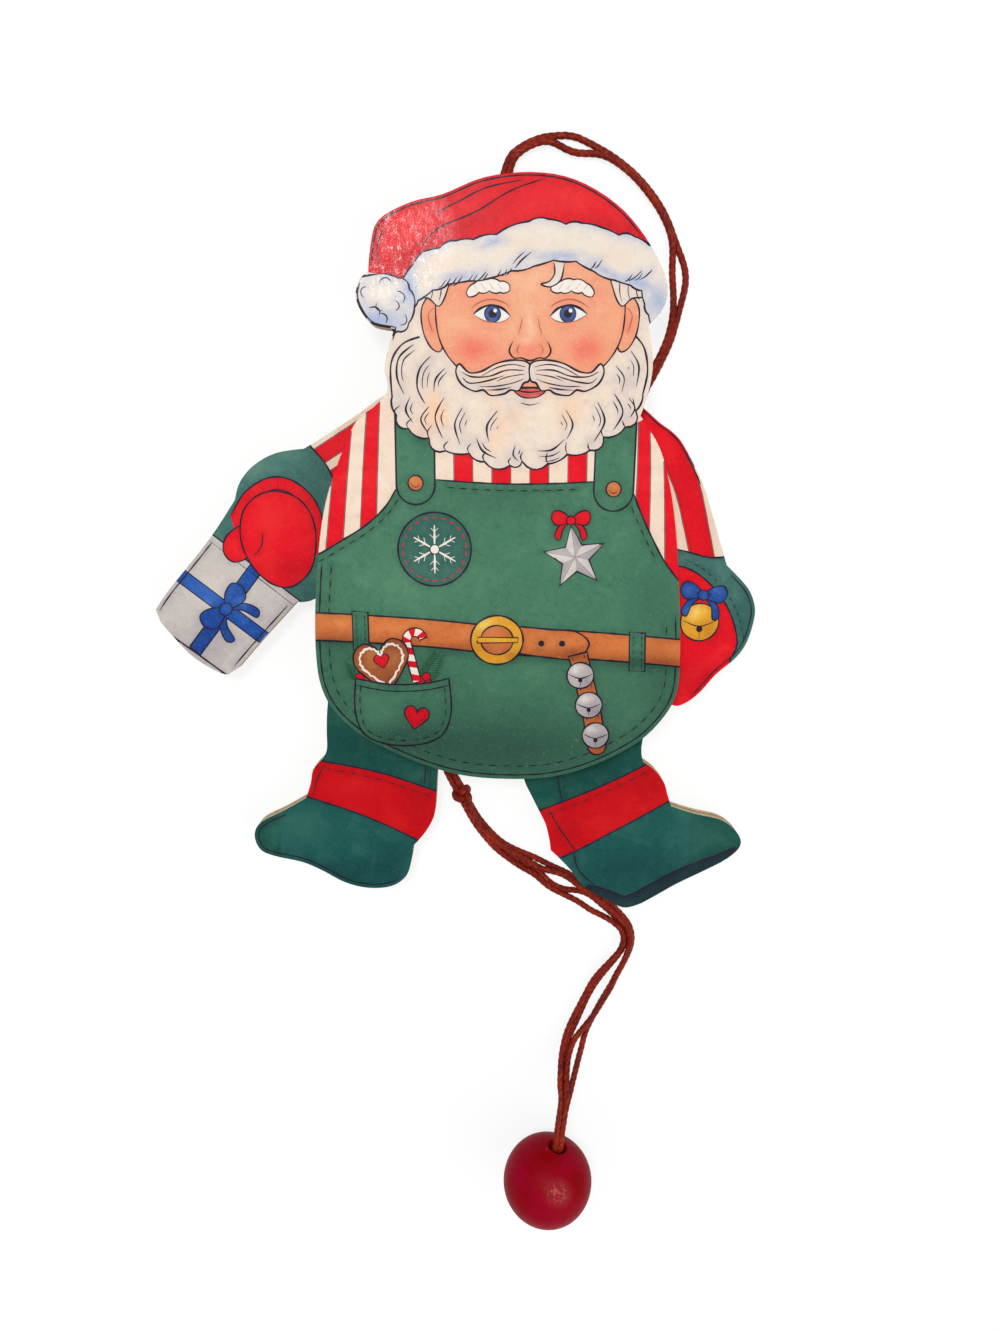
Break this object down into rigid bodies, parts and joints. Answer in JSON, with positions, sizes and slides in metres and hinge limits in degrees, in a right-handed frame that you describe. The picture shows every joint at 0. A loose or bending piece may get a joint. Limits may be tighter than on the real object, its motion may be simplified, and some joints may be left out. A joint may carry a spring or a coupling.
{
  "type": "pull string jumping jack",
  "caption": "Flat wooden jumping jack of a bearded winter figure whose arms and legs swing up when the string with the round bead is pulled.",
  "frame": {"origin": "bottom middle of the figure's box, on the table it lies on, measured without the free cords and the bead", "axes": "+Y from the boots to the cap, +Z out of the printed face, +X to the right as the face is seen"},
  "size_m": [0.124, 0.2333, 0.02],
  "materials": {
    "plywood": "sanded birch plywood",
    "printed_paper": "varnished colour print on paper",
    "pin_steel": "satin",
    "spacer_card": "pressed card",
    "cord": "twisted cord",
    "bead_lacquer": "gloss lacquer",
    "staple_wire": "bright"
  },
  "bodies": {
    "figure": {"body_board": "plywood", "body_print": "printed_paper", "left_shoulder_pin": "pin_steel", "right_shoulder_pin": "pin_steel", "left_hip_pin": "pin_steel", "right_hip_pin": "pin_steel", "left_shoulder_spacer": "spacer_card", "right_shoulder_spacer": "spacer_card", "left_hip_spacer": "spacer_card", "right_hip_spacer": "spacer_card", "hanging_staple": "staple_wire", "loop_knot": "cord", "hanging_loop": "cord"},
    "left_arm": {"left_arm_board": "plywood", "left_arm_print": "printed_paper", "left_arm_tie": "cord"},
    "right_arm": {"right_arm_board": "plywood", "right_arm_print": "printed_paper", "right_arm_tie": "cord"},
    "left_leg": {"left_leg_board": "plywood", "left_leg_print": "printed_paper", "left_leg_tie": "cord"},
    "right_leg": {"right_leg_board": "plywood", "right_leg_print": "printed_paper", "right_leg_tie": "cord"},
    "strings": {"arm_link_string": "cord", "arm_link_knot": "cord", "inner_pull_string": "cord", "leg_link_string": "cord", "leg_link_knot": "cord", "lower_pull_string": "cord", "exit_knot": "cord", "pull_cord": "cord", "pull_bead": "bead_lacquer", "bead_knot": "cord"}
  },
  "joints": [
    {"name": "left_arm_swing", "type": "hinge", "parent": "figure", "child": "left_arm", "pos_m": [-0.01185, 0.0235, 0.0047], "axis": [0, 0, -1], "range_deg": [0, 70]},
    {"name": "right_arm_swing", "type": "hinge", "parent": "figure", "child": "right_arm", "pos_m": [0.03345, 0.0235, 0.0047], "axis": [0, 0, 1], "range_deg": [0, 70]},
    {"name": "left_leg_swing", "type": "hinge", "parent": "figure", "child": "left_leg", "pos_m": [-0.01345, -0.0245, 0.0047], "axis": [0, 0, -1], "range_deg": [0, 50]},
    {"name": "right_leg_swing", "type": "hinge", "parent": "figure", "child": "right_leg", "pos_m": [0.03085, -0.0245, 0.0047], "axis": [0, 0, 1], "range_deg": [0, 50]},
    {"name": "string_pull", "type": "slide", "parent": "figure", "child": "strings", "axis": [0, -1, 0], "range_m": [0, 0.012]}
  ],
  "couplings": [
    {"joint": "right_arm_swing", "follows": "left_arm_swing", "ratio": 1},
    {"joint": "left_leg_swing", "follows": "left_arm_swing", "ratio": 0.7142},
    {"joint": "right_leg_swing", "follows": "left_arm_swing", "ratio": 0.7142},
    {"joint": "string_pull", "follows": "left_arm_swing", "m_per_rad": 0.00982}
  ]
}
